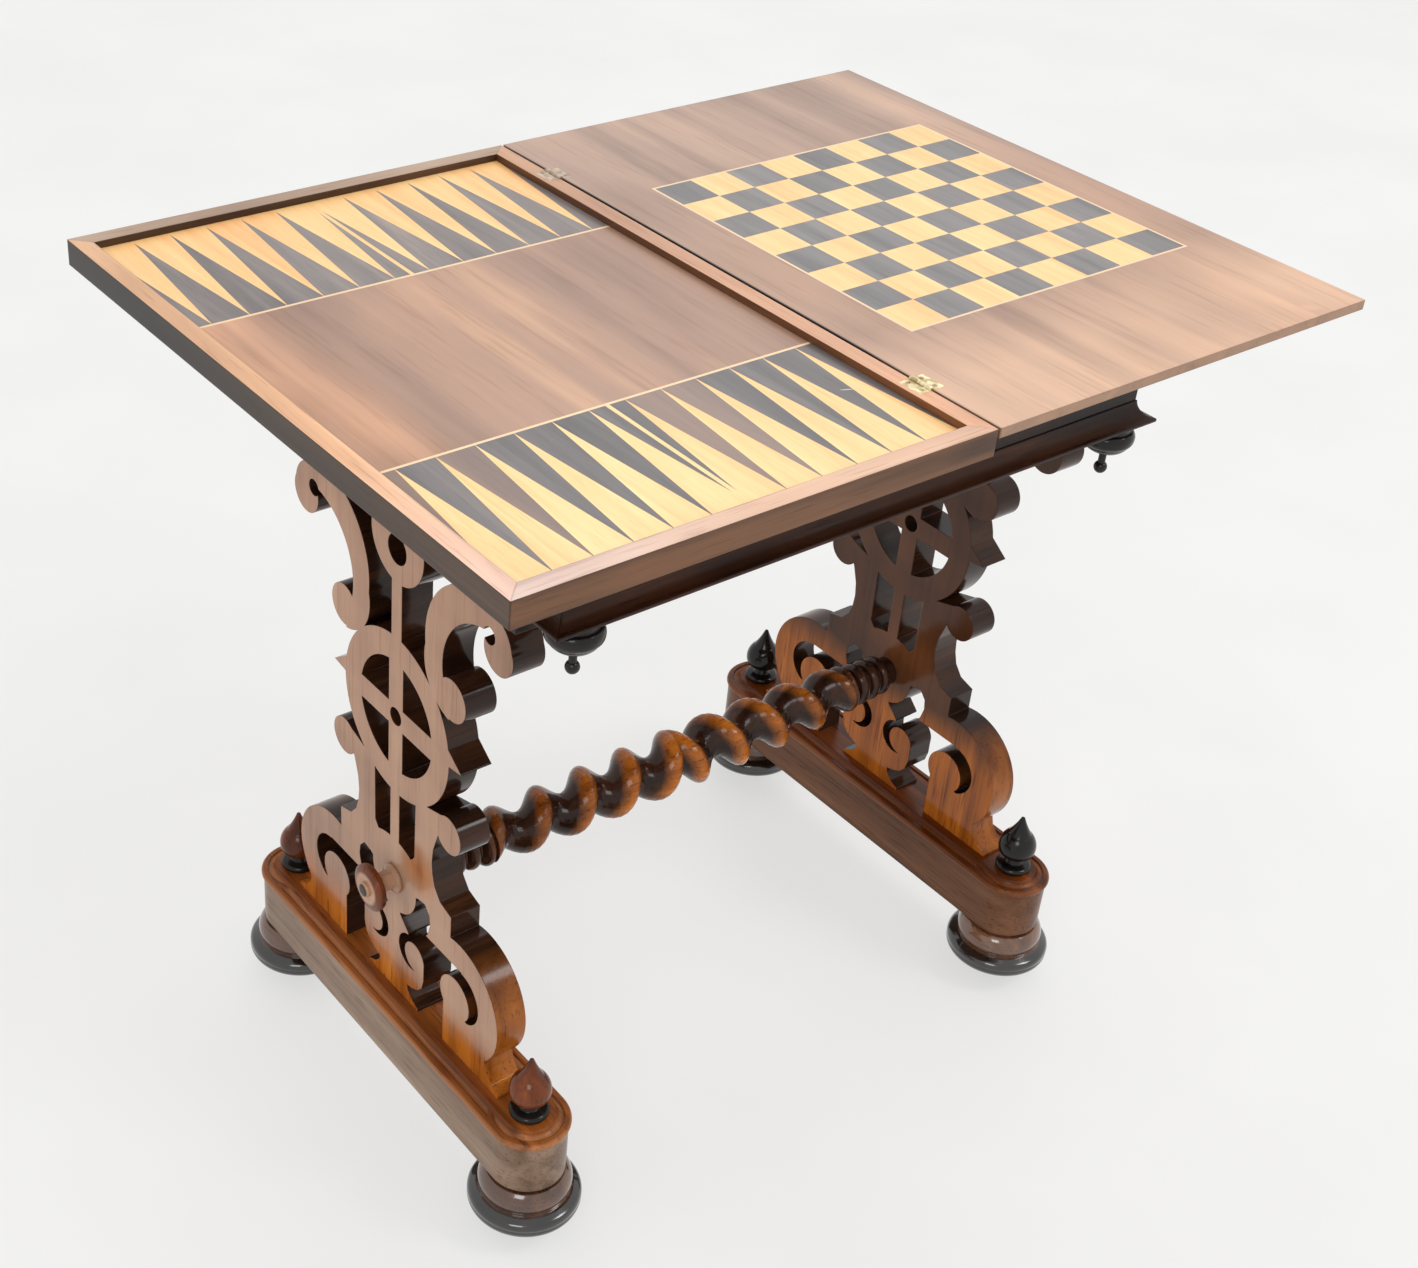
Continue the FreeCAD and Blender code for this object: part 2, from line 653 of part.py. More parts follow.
washer_base = f"{swivel_rail_base} - washer_thickness"
nut_base = f"{washer_base} - nut_height"
bolt_base = f"{nut_base} - bolt_tail"
bolt_length = "swivel_plate_thickness + swivel_rail_thickness + washer_thickness + nut_height + bolt_tail"
finish("swivel_bolt", rod("bolt_radius", bolt_length, swivel_x, swivel_y, bolt_base))
plate = centred_box("swivel_plate_side", "swivel_plate_side", "swivel_plate_thickness",
                    swivel_x, swivel_y, "frieze_top")
finish("swivel_plate", bolted(plate, "swivel_plate_thickness", "frieze_top"))
washer = rod("washer_radius", "washer_thickness", swivel_x, swivel_y, washer_base)
finish("swivel_washer", bolted(washer, "washer_thickness", washer_base))
nut = place(bind(doc.addObject("Part::Prism", "nut"), Circumradius="nut_radius", Height="nut_height"),
            swivel_x, swivel_y, nut_base)
nut.Polygon = 6
finish("swivel_nut", bolted(nut, "nut_height", nut_base))

# Hinges: each a tray plate with two knuckles, a leaf plate with the middle knuckle, and a pin
hinge_places = {"near": "-1", "far": "1"}
knuckle_share = 0.33
knuckle_length = f"hinge_width * {knuckle_share}"
recess_radius = "knuckle_radius + fold_gap"


def knuckle_rod(radius, length, y):
    return rod(radius, length, "0", f"{y} - ({length}) / 2", "fold_height", along_y)


# Mortise for one hinge in either half of the top
def hinge_mortise(sign, y):
    seat_x = "0" if sign > 0 else "0 - hinge_reach"
    seat = box("hinge_reach", "hinge_width", "hinge_thickness + overrun", seat_x, f"{y} - hinge_width / 2",
               "top_height - hinge_thickness")
    return joined([seat, knuckle_rod(recess_radius, "hinge_width", y)])


def hinge_plate(label, sign, y):
    seat_x = "0" if sign > 0 else "0 - hinge_reach"
    flap = box("hinge_reach", "hinge_width", "hinge_thickness", seat_x, f"{y} - hinge_width / 2",
               "top_height - hinge_thickness")
    end_place = f"( hinge_width - {knuckle_length} ) / 2"
    end_length = f"{knuckle_length} - knuckle_gap"
    ends = [f"{y} - {end_place}", f"{y} + {end_place}"]
    own, others = ([y], ends) if sign > 0 else (ends, [y])
    room = [knuckle_rod(recess_radius, f"{knuckle_length} + 2 * knuckle_gap", spot) for spot in others]
    barrels = [knuckle_rod("knuckle_radius", end_length, spot) for spot in own]
    pin_hole = knuckle_rod("hinge_pin_radius + running_clearance", "hinge_width + overrun", y)
    finish(label, cut(joined([cut(flap, *room)] + barrels), pin_hole))


pins = []
for name, sign in hinge_places.items():
    hinge_y = f"{sign} * hinge_offset"
    hinge_plate(f"hinge_tray_plate_{name}", -1, hinge_y)
    hinge_plate(f"hinge_leaf_plate_{name}", 1, hinge_y)
    pins.append(knuckle_rod("hinge_pin_radius", "hinge_width - 2 * knuckle_gap", hinge_y))
finish("hinge_pins", grouped(pins))


# Tray: a panel inside four mitred rims that stand above it, and the plain folding leaf
def mortises(sign):
    return [hinge_mortise(sign, f"{place_sign} * hinge_offset") for place_sign in hinge_places.values()]


tray_low = "0 - half_depth"
tray_high = "0 - seam_gap / 2"
tray_side = "top_width / 2"
panel_low = f"{tray_low} + rim_width"
panel_high = f"{tray_high} - rim_width"
panel_side = f"( {tray_side} - rim_width )"
panel = box("half_depth - seam_gap / 2 - 2 * rim_width", f"2 * {panel_side}", "tray_thickness - tray_recess",
            panel_low, f"0 - {panel_side}", "frieze_top")
plate_seat = centred_box("swivel_plate_side", "swivel_plate_side", "swivel_plate_thickness + overrun",
                         swivel_x, swivel_y, "frieze_top - overrun")
finish("tray_panel", cut(panel, plate_seat))
outer = [
    (tray_low, f"0 - {tray_side}"),
    (tray_high, f"0 - {tray_side}"),
    (tray_high, tray_side),
    (tray_low, tray_side),
]
inner = [
    (panel_low, f"0 - {panel_side}"),
    (panel_high, f"0 - {panel_side}"),
    (panel_high, panel_side),
    (panel_low, panel_side),
]
for i, name in enumerate(("near", "seam", "far", "outer")):
    following = (i + 1) % len(outer)
    outline = straight([outer[i], outer[following], inner[following], inner[i]])
    rim = prism(outline, "tray_thickness", "frieze_top")
    finish(f"tray_rim_{name}", cut(rim, *mortises(-1)) if name == "seam" else rim)
leaf = box("half_depth - seam_gap / 2", "top_width", "leaf_thickness", "seam_gap / 2", f"0 - {tray_side}",
           "top_height - leaf_thickness")
finish("leaf_panel", cut(leaf, *mortises(1)))

doc.recompute()
faults = [obj.Label for obj in doc.Objects if {"Invalid", "Error"} & set(obj.State)]
faults += [obj.Label for obj in sub_parts if obj.Shape.isNull() or not obj.Shape.isValid()]
if faults:
    raise RuntimeError(f"failed: {faults}")
os.makedirs("parts", exist_ok=True)
for obj in sub_parts:
    obj.Shape.exportStep(f"parts/{obj.Label}.step")
print(len(sub_parts), "sub-parts written")
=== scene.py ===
import bpy
import numpy as np
from mathutils import Matrix, Vector


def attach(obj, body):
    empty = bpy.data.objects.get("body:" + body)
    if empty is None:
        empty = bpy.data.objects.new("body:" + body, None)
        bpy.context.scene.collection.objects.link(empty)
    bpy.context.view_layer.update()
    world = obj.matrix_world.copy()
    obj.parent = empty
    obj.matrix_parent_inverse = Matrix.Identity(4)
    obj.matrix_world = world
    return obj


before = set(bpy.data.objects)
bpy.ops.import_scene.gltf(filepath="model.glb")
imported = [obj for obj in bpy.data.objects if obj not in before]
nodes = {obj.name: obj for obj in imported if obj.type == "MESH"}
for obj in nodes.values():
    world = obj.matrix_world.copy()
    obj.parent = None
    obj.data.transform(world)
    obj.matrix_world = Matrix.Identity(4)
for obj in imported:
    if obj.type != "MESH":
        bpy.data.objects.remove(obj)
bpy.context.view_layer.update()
print("frame loaded", len(nodes))

mixSockets = {"factor": 0, "first": 6, "second": 7, "result": 2}  # the colour sockets of a Mix node
even = (1.0, 1.0, 1.0)  # no stretch
untinted = (1.0, 1.0, 1.0, 1.0)


def srgb(red, green, blue):  # display colour, 0 to 255, to linear
    return tuple(((c / 255 + 0.055) / 1.055) ** 2.4 for c in (red, green, blue)) + (1.0,)


def feed(tree, socket, value):  # links a socket, or sets a plain value
    if isinstance(value, bpy.types.NodeSocket):
        tree.links.new(value, socket)
    else:
        socket.default_value = value


def add(tree, kind, values=(), **settings):
    node = tree.nodes.new(kind)
    for name, setting in settings.items():
        setattr(node, name, setting)
    for name, value in dict(values).items():
        feed(tree, node.inputs[name], value)
    return node


def maths(tree, operation, *values):
    node = add(tree, "ShaderNodeMath", operation=operation)
    for socket, value in zip(node.inputs, values):
        feed(tree, socket, value)
    return node.outputs[0]


def times(tree, first, second):
    return maths(tree, "MULTIPLY", first, second)


def apart(tree, first, second):  # size of the difference
    return maths(tree, "ABSOLUTE", maths(tree, "SUBTRACT", first, second))


def mix(tree, factor, first, second, blend="MIX"):
    node = add(tree, "ShaderNodeMix", data_type="RGBA", blend_type=blend)
    feed(tree, node.inputs[mixSockets["factor"]], factor)
    feed(tree, node.inputs[mixSockets["first"]], first)
    feed(tree, node.inputs[mixSockets["second"]], second)
    return node.outputs[mixSockets["result"]]


def tinted(tree, colour, tint, share=None):  # a colour multiplied by a tint, all over or by a share
    whole = mix(tree, 1.0, colour, tint, "MULTIPLY")
    return whole if share is None else mix(tree, share, colour, whole)


def ramp(tree, value, stops):
    node = add(tree, "ShaderNodeValToRGB", {"Fac": value})
    points = node.color_ramp.elements
    while len(points) < len(stops):
        points.new(1.0)
    for point, (place, colour) in zip(points, stops):
        point.position = place
        point.color = colour
    return node.outputs["Color"]


def between(tree, value, low, high, start=0.0, end=1.0):  # start at low, end at high, held outside them
    values = {"Value": value, "From Min": low, "From Max": high, "To Min": start, "To Max": end}
    return add(tree, "ShaderNodeMapRange", values).outputs["Result"]


def coordinates(tree):
    point = add(tree, "ShaderNodeTexCoord").outputs["Object"]
    split = add(tree, "ShaderNodeSeparateXYZ", {"Vector": point})
    return point, split.outputs["X"], split.outputs["Y"], split.outputs["Z"]


def normalAlong(tree, axis):
    normal = add(tree, "ShaderNodeNewGeometry").outputs["Normal"]
    return add(tree, "ShaderNodeSeparateXYZ", {"Vector": normal}).outputs[axis]


def facing(tree, axis):  # size of the surface normal along an axis
    return maths(tree, "ABSOLUTE", normalAlong(tree, axis))


def noise(tree, point, stretch, scale, detail, distortion=0.0):
    scaled = add(tree, "ShaderNodeMapping", {"Vector": point, "Scale": stretch}).outputs["Vector"]
    values = {"Vector": scaled, "Scale": scale, "Detail": detail, "Distortion": distortion}
    return add(tree, "ShaderNodeTexNoise", values).outputs["Fac"]


def nearPoint(tree, point, centre, radius):  # 1 at the centre, 0 at the radius
    distance = add(tree, "ShaderNodeVectorMath", {0: point, 1: centre}, operation="DISTANCE")
    return between(tree, distance.outputs["Value"], radius, 0.0)


def fromAxis(tree, y, z, level):  # distance from a line along X at a level
    up = maths(tree, "SUBTRACT", z, level)
    return maths(tree, "SQRT", maths(tree, "ADD", times(tree, y, y), times(tree, up, up)))


markEdge = {"rim": 1.0, "core": 0.4}  # where a mark starts and where it is full, in shares of its half sizes


def mark(tree, point, spot):  # 1 in the core of a turned ellipse, 0 at its rim
    values = {"Vector": point, "Location": spot["centre"], "Scale": spot["halves"],
              "Rotation": (0.0, 0.0, spot["turn"])}
    placed = add(tree, "ShaderNodeMapping", values, vector_type="TEXTURE").outputs["Vector"]
    distance = add(tree, "ShaderNodeVectorMath", {0: placed}, operation="LENGTH")
    return between(tree, distance.outputs["Value"], markEdge["rim"], markEdge["core"])


grain = {"along": {"X": (0.05, 1.0, 1.0), "Y": (1.0, 0.05, 1.0), "Z": (1.0, 1.0, 0.05)},
         "streakDetail": 5.0, "streakBend": 0.6, "cloudStretch": (1.0, 0.45, 1.0), "cloudDetail": 3.0,
         "poreFineness": 9.0, "poreDetail": 2.0, "pores": (0.56, 0.70),
         "stops": (0.34, 0.47, 0.60, 0.70)}  # tones of a wood's four colours


def woodColour(tree, point, wood):  # colour and tone of streaks and broad clouds, with fine pores
    stretch = grain["along"][wood["along"]]
    streak = noise(tree, point, stretch, wood["streaks"], grain["streakDetail"], grain["streakBend"])
    cloud = noise(tree, point, grain["cloudStretch"], wood["clouds"], grain["cloudDetail"])
    pores = noise(tree, point, stretch, wood["streaks"] * grain["poreFineness"], grain["poreDetail"])
    tone = maths(tree, "ADD", times(tree, streak, wood["figure"]), times(tree, cloud, 1 - wood["figure"]))
    colours = [srgb(*colour) for colour in wood["colours"]]
    colour = ramp(tree, tone, list(zip(grain["stops"], colours)))
    return tinted(tree, colour, wood["poreTint"], between(tree, pores, *grain["pores"])), tone


def startMaterial(name):
    material = bpy.data.materials.new(name)
    material.use_nodes = True
    return material, material.node_tree, material.node_tree.nodes["Principled BSDF"]


wax = {"tones": (0.3, 0.75), "smoother": 0.04, "rougher": 0.06,
       "relief": 0.12, "depth": 0.0006, "edgeSamples": 4}


def polish(tree, shader, colour, tone, finish):  # worn wax: uneven gloss, slight grain relief and soft edges
    ends = (finish["rough"] - wax["smoother"], finish["rough"] + wax["rougher"])
    feed(tree, shader.inputs["Base Color"], colour)
    feed(tree, shader.inputs["Roughness"], between(tree, tone, *wax["tones"], *ends))
    shader.inputs["Specular IOR Level"].default_value = finish["shine"]
    shader.inputs["Coat Weight"].default_value = finish["coat"]
    shader.inputs["Coat Roughness"].default_value = finish["coatRough"]
    edge = add(tree, "ShaderNodeBevel", {"Radius": finish["edge"]}, samples=wax["edgeSamples"])
    values = {"Height": tone, "Strength": wax["relief"], "Distance": wax["depth"],
              "Normal": edge.outputs["Normal"]}
    feed(tree, shader.inputs["Normal"], add(tree, "ShaderNodeBump", values).outputs["Normal"])


def give(material, *names):
    for name in names:
        mesh = nodes[name].data
        mesh.materials.clear()
        mesh.materials.append(material)


def plainWood(name, wood, finish):
    material, tree, shader = startMaterial(name)
    colour, tone = woodColour(tree, coordinates(tree)[0], wood)
    polish(tree, shader, colour, tone, finish)
    return material


topFinish = {"rough": 0.36, "coat": 0.10, "coatRough": 0.18, "shine": 0.50, "edge": 0.0015}
rimFinish = dict(topFinish, shine=0.35, coat=0.04)
innerFinish = dict(topFinish, rough=0.6, coat=0.0)
standFinish = {"rough": 0.28, "coat": 0.0, "coatRough": 0.18, "shine": 0.20, "edge": 0.0020}
glossFinish = {"rough": 0.16, "coat": 0.04, "coatRough": 0.08, "shine": 0.25, "edge": 0.0015}
blackFinish = dict(glossFinish, coat=0.15)
footFinish = dict(glossFinish, coat=1.0, shine=0.5)

topWood = {"along": "Y", "streaks": 27.0, "clouds": 6.0, "figure": 0.5,
           "poreTint": (0.88, 0.84, 0.81, 1.0),
           "colours": [(135, 103, 86), (168, 132, 111), (189, 148, 122), (220, 173, 136)]}
# patches of the paler edges: sun-fading on the tray, painted sheen on the leaf
palePatches = {"stretch": (1.0, 0.35, 1.0), "scale": 7.0, "detail": 2.0, "patches": (0.25, 0.50)}


def paledTop(tree, point, edge, glow):  # top wood, patchily paler towards an edge: sun-faded on the tray, a painted sheen on the leaf
    wood, tone = woodColour(tree, point, topWood)
    patch = noise(tree, point, palePatches["stretch"], palePatches["scale"], palePatches["detail"])
    return tinted(tree, wood, glow, times(tree, edge, between(tree, patch, *palePatches["patches"]))), tone


satinwood = {"along": "Y", "streaks": 90.0, "clouds": 12.0, "figure": 0.6,
             "poreTint": (0.94, 0.89, 0.82, 1.0),
             "colours": [(250, 191, 128), (251, 205, 141), (252, 215, 152), (252, 226, 166)]}
inlay = {"farTint": (0.98, 0.90, 0.84, 1.0), "farFrom": (-0.20, 0.20),
         "string": (228, 206, 178), "stringShare": 0.6}
darkInlay = {"along": "Y", "streaks": 70.0, "clouds": 9.0, "figure": 0.6,
             "poreTint": (0.84, 0.82, 0.82, 1.0),
             "colours": [(86, 82, 83), (102, 97, 97), (114, 108, 107), (131, 122, 117)]}


def paleInlay(tree, point, y):  # satinwood, duller towards the far side, and its paler stringing
    light = woodColour(tree, point, satinwood)[0]
    light = tinted(tree, light, inlay["farTint"], between(tree, y, *inlay["farFrom"]))
    return light, mix(tree, inlay["stringShare"], light, srgb(*inlay["string"]))


leaf = {"glow": (1.52, 1.60, 1.55, 1.0), "glowFrom": (-0.140, -0.230),  # painted sheen on the near edge
        # painted sheen: paler and bluer towards the far side
        "farTint": (1.08, 1.18, 1.26, 1.0), "farFrom": (0.0, 0.20),
        # painted sheen greying the dark squares
        "paintedSheen": (1.32, 1.36, 1.36, 1.0), "inlayAbove": 0.7198,
        # darker edges, painted shade
        "side": (0.50, 0.46, 0.42, 1.0), "flat": (0.5, 0.8)}
chess = {"start": 0.0556, "square": 0.03825, "half": 4.0, "border": 0.0022}  # start from the seam, half the files
scuff = {"centre": (0.3555, -0.282, 0.720), "turn": -0.44, "halves": (0.0115, 0.0065, 0.01),
         "colour": (214, 168, 143)}
# painted shade of the gap along the seam, weaker at the near end
seamShade = {"across": (0.0032, 0.0020), "near": (-0.22, -0.16), "nearShare": 0.3, "far": (0.32, 0.18),
            "colour": (50, 37, 31)}


def leafMaterial():
    material, tree, shader = startMaterial("leafTop")
    point, x, y, z = coordinates(tree)
    # painted sheen, patchily paler towards the near edge
    wood, tone = paledTop(tree, point, between(tree, y, *leaf["glowFrom"]), leaf["glow"])
    # painted sheen towards the far side
    wood = tinted(tree, wood, leaf["farTint"], between(tree, y, *leaf["farFrom"]))
    wood = mix(tree, mark(tree, point, scuff), wood, srgb(*scuff["colour"]))
    # painted shade along the seam gap
    alongSeam = times(tree, between(tree, y, *seamShade["near"], seamShade["nearShare"], 1.0),
                      between(tree, y, *seamShade["far"]))
    gapShade = times(tree, between(tree, x, *seamShade["across"]), alongSeam)
    wood = mix(tree, gapShade, wood, srgb(*seamShade["colour"]))
    # painted shade darkens the edges
    wood = mix(tree, between(tree, facing(tree, "Z"), *leaf["flat"]), tinted(tree, wood, leaf["side"]), wood)

    light, string = paleInlay(tree, point, y)
    # painted sheen greying the dark squares
    dark = tinted(tree, woodColour(tree, point, darkInlay)[0], leaf["paintedSheen"])
    column = maths(tree, "DIVIDE", maths(tree, "SUBTRACT", x, chess["start"]), chess["square"])
    line = maths(tree, "DIVIDE", maths(tree, "ADD", y, chess["square"] * chess["half"]), chess["square"])
    steps = maths(tree, "ADD", maths(tree, "FLOOR", column), maths(tree, "FLOOR", line))
    squares = mix(tree, maths(tree, "FLOORED_MODULO", steps, 2.0), light, dark)
    fromMiddle = maths(tree, "MAXIMUM", apart(tree, column, chess["half"]), apart(tree, line, chess["half"]))
    board = mix(tree, maths(tree, "GREATER_THAN", fromMiddle, chess["half"]), squares, string)
    outer = chess["half"] + chess["border"] / chess["square"]
    onBoard = times(tree, maths(tree, "LESS_THAN", fromMiddle, outer),
                    maths(tree, "GREATER_THAN", z, leaf["inlayAbove"]))
    polish(tree, shader, mix(tree, onBoard, wood, board), tone, topFinish)
    return material


tray = {"glow": (2.02, 1.74, 1.32, 1.0), "glowFrom": (-0.318, -0.376),  # sunned outer edge
        "shade": (0.91, 0.91, 0.93, 1.0),
        # painted sheen on the dark points towards the far side
        "paintedSheen": (1.50, 1.42, 1.34, 1.0), "paintedSheenFrom": (-0.05, 0.15), "inlayAbove": 0.7138}
field = {"left": -0.391, "right": -0.0162, "line": 0.1215, "lineHalf": 0.0013, "tip": 0.2775,
         "points": 6, "baseHalf": 0.5, "gap": 0.0018,  # pitches on each side of the split point
         "brown": (-6, -4, 1, 2), "brownShare": 0.42, "match": 0.1}  # brown points of the near band
scratch = {"centre": (-0.0431, -0.1909, 0.714), "turn": -0.404, "halves": (0.0065, 0.0008, 0.01),
           "colour": (206, 205, 204)}


def trayMaterial():
    material, tree, shader = startMaterial("trayField")
    point, x, y, z = coordinates(tree)
    wood, tone = paledTop(tree, point, between(tree, x, *tray["glowFrom"]), tray["glow"])
    wood = tinted(tree, wood, tray["shade"])
    light, string = paleInlay(tree, point, y)
    dark = woodColour(tree, point, darkInlay)[0]
    # painted sheen, greyer dark points towards the far side
    dark = tinted(tree, dark, tray["paintedSheen"], between(tree, y, *tray["paintedSheenFrom"]))

    middle = (field["left"] + field["right"]) / 2
    pitch = (field["right"] - middle) / field["points"]
    fromMiddle = maths(tree, "DIVIDE", maths(tree, "SUBTRACT", x, middle), pitch)
    nearest = maths(tree, "ROUND", fromMiddle)
    across = maths(tree, "ABSOLUTE", y)
    half = between(tree, across, field["line"], field["tip"], field["baseHalf"], 0.0)
    inPoint = times(tree, maths(tree, "LESS_THAN", apart(tree, fromMiddle, nearest), half),
                    maths(tree, "GREATER_THAN", apart(tree, x, middle), field["gap"]))
    isBrown = 0.0
    for index in field["brown"]:
        here = maths(tree, "COMPARE", nearest, float(index), field["match"])
        isBrown = maths(tree, "MAXIMUM", isBrown, here)
    isBrown = times(tree, isBrown, maths(tree, "LESS_THAN", y, 0.0))
    points = mix(tree, isBrown, dark, mix(tree, field["brownShare"], dark, wood))
    bands = mix(tree, inPoint, light, points)
    bands = mix(tree, mark(tree, point, scratch), bands, srgb(*scratch["colour"]))
    onLine = maths(tree, "LESS_THAN", across, field["line"] + field["lineHalf"])
    inBand = times(tree, maths(tree, "GREATER_THAN", across, field["line"] - field["lineHalf"]),
                   maths(tree, "GREATER_THAN", z, tray["inlayAbove"]))
    polish(tree, shader, mix(tree, inBand, wood, mix(tree, onLine, bands, string)), tone, topFinish)
    return material


rimWood = {"along": "Y", "streaks": 46.0, "clouds": 6.0, "figure": 0.55,
           "poreTint": (0.82, 0.76, 0.72, 1.0),
           "colours": [(184, 136, 107), (215, 164, 128), (235, 184, 146), (252, 207, 171)]}
rimSide = {"along": "Y", "streaks": 60.0, "clouds": 6.0, "figure": 0.6,
           "poreTint": (0.75, 0.70, 0.66, 1.0),
           "colours": [(68, 45, 31), (97, 67, 46), (116, 81, 57), (137, 100, 72)]}
rims = {  # grain, and what the top, the worn near corner with its painted sheen, and the side in painted shade are multiplied by
    "near": {"along": "X", "top": (0.73, 0.82, 0.94, 1.0), "wornAndSheen": (1.10, 1.33, 1.70, 1.0),
             "side": (0.60, 0.55, 0.48, 1.0), "farSide": 0.25},
    "outer": {"along": "Y", "top": (1.18, 1.24, 1.16, 1.0), "wornAndSheen": (0.80, 0.94, 1.36, 1.0),
              "side": (0.38, 0.42, 0.46, 1.0), "farSide": 0.25},
    "far": {"along": "X", "top": (0.68, 0.82, 0.95, 1.0), "wornAndSheen": untinted,
            "side": (0.74, 0.66, 0.56, 1.0), "farSide": 0.60},
    "seam": {"along": "Y", "top": (0.98, 0.98, 0.98, 1.0), "wornAndSheen": untinted,
             "side": (0.84, 0.68, 0.50, 1.0), "farSide": 0.85},
}
rimFade = {"topFrom": (-0.25, 0.20), "nearTop": (1.26, 1.26, 1.28, 1.0), "farTop": (0.80, 0.80, 0.82, 1.0),
           "sideFrom": (-0.25, 0.15), "nearSide": 1.6, "flat": (0.55, 0.8),
           "corner": (-0.406, -0.296, 0.720), "wornAndSheenReach": 0.20}


def rimMaterial(name, rim):  # paler towards the near end, worn with a painted sheen at the near corner, and painted shade on the sides
    material, tree, shader = startMaterial(name)
    point, x, y, z = coordinates(tree)
    upper, tone = woodColour(tree, point, dict(rimWood, along=rim["along"]))
    endTint = mix(tree, between(tree, y, *rimFade["topFrom"]), rimFade["nearTop"], rimFade["farTop"])
    upper = tinted(tree, tinted(tree, upper, rim["top"]), endTint)
    # worn near corner with a painted sheen
    rubbedAndSheen = nearPoint(tree, point, rimFade["corner"], rimFade["wornAndSheenReach"])
    upper = tinted(tree, upper, rim["wornAndSheen"], rubbedAndSheen)
    # painted shade on the sides, darkest on the outer side, and painted light towards the near end
    side = tinted(tree, woodColour(tree, point, dict(rimSide, along=rim["along"]))[0], rim["side"])
    lit = between(tree, y, *rimFade["sideFrom"], rimFade["nearSide"], rim["farSide"])
    side = add(tree, "ShaderNodeVectorMath", {"Vector": side, "Scale": lit}, operation="SCALE")
    flat = between(tree, facing(tree, "Z"), *rimFade["flat"])
    colour = mix(tree, flat, side.outputs["Vector"], upper)
    polish(tree, shader, colour, tone, rimFinish)
    return material


give(leafMaterial(), "leaf_panel")
give(trayMaterial(), "tray_panel")
for name, rim in rims.items():
    give(rimMaterial("rim_" + name, rim), "tray_rim_" + name)
print("top finished")

standWood = {"along": "Y", "streaks": 55.0, "clouds": 9.0, "figure": 0.62,
             "poreTint": (0.55, 0.45, 0.40, 1.0),
             "colours": [(59, 30, 14), (99, 53, 22), (135, 75, 31), (171, 98, 38)]}
friezeWood = dict(standWood, colours=[(26, 14, 9), (44, 24, 15), (64, 36, 21), (93, 53, 31)])
warmWood = dict(standWood, colours=[(124, 64, 20), (164, 91, 27), (189, 109, 34), (214, 133, 52)])

fretFace = {"along": "Z", "streaks": 32.0, "clouds": 10.0, "figure": 0.42,
            "poreTint": (0.86, 0.80, 0.75, 1.0),
            "colours": [(146, 110, 88), (168, 129, 104), (183, 143, 115), (198, 159, 129)]}
shadedFace = dict(fretFace, colours=[(52, 30, 18), (73, 43, 25), (92, 55, 32), (114, 70, 41)])
fretEdge = dict(standWood, along="X", colours=[(28, 15, 9), (43, 24, 14), (62, 36, 21), (92, 57, 34)])
fretFoot = dict(warmWood, along="Z")
# the foot heights are where the painted reflection of the plinth begins
fret = {"leftFoot": 0.205, "rightFoot": 0.270, "footFade": 0.04, "waver": 0.06, "flat": (0.75, 0.9),
        "patch": (-0.294, -0.036, 0.276), "patchReach": 0.030, "patchShare": 0.8,  # worn place
        "outward": (0.05, 0.35), "scrolls": (0.105, 0.135), "edgeFrom": (0.30, 0.20), "edgeShare": 0.80}


def fretMaterial(name, face, footTop):  # warm at the foot, a painted reflection of the plinth, and outside the foot scrolls; dark walls in the piercings, painted shade
    material, tree, shader = startMaterial(name)
    point, x, y, z = coordinates(tree)
    flat, tone = woodColour(tree, point, face)
    # dark walls, painted shade in the piercings
    dark = woodColour(tree, point, fretEdge)[0]
    warm = woodColour(tree, point, fretFoot)[0]
    height = maths(tree, "ADD", z, times(tree, tone, fret["waver"]))
    patch = times(tree, nearPoint(tree, point, fret["patch"], fret["patchReach"]), fret["patchShare"])
    # painted reflection of the plinth warms the foot, together with the worn place
    warmed = maths(tree, "MAXIMUM", between(tree, height, footTop, footTop - fret["footFade"]), patch)
    outward = times(tree, normalAlong(tree, "Y"), maths(tree, "SIGN", y))
    outside = times(tree, between(tree, outward, *fret["outward"]),
                    between(tree, maths(tree, "ABSOLUTE", y), *fret["scrolls"]))
    low = between(tree, height, *fret["edgeFrom"], 0.0, fret["edgeShare"])
    edge = mix(tree, times(tree, low, outside), dark, warm)
    flat = mix(tree, warmed, flat, warm)
    colour = mix(tree, between(tree, facing(tree, "X"), *fret["flat"]), edge, flat)
    polish(tree, shader, colour, tone, glossFinish)
    return material


give(fretMaterial("fretLeft", fretFace, fret["leftFoot"]), "fret_left")
give(fretMaterial("fretRight", shadedFace, fret["rightFoot"]), "fret_right")

barSide = dict(standWood, colours=[(94, 72, 56), (122, 98, 79), (143, 118, 98), (160, 137, 116)])
barTop = dict(standWood, colours=[(70, 36, 16), (116, 62, 25), (154, 85, 33), (188, 109, 43)])
bars = {"left": {"side": untinted, "top": untinted},  # what the side and the mouldings are multiplied by; the right bar's darker tints are painted shade
        "right": {"side": (0.58, 0.37, 0.25, 1.0), "top": (0.55, 0.46, 0.38, 1.0)}}
mouldings = {"bead": (0.1085, 0.1105), "plinth": (0.1155, 0.1175), "warmShare": 0.6}


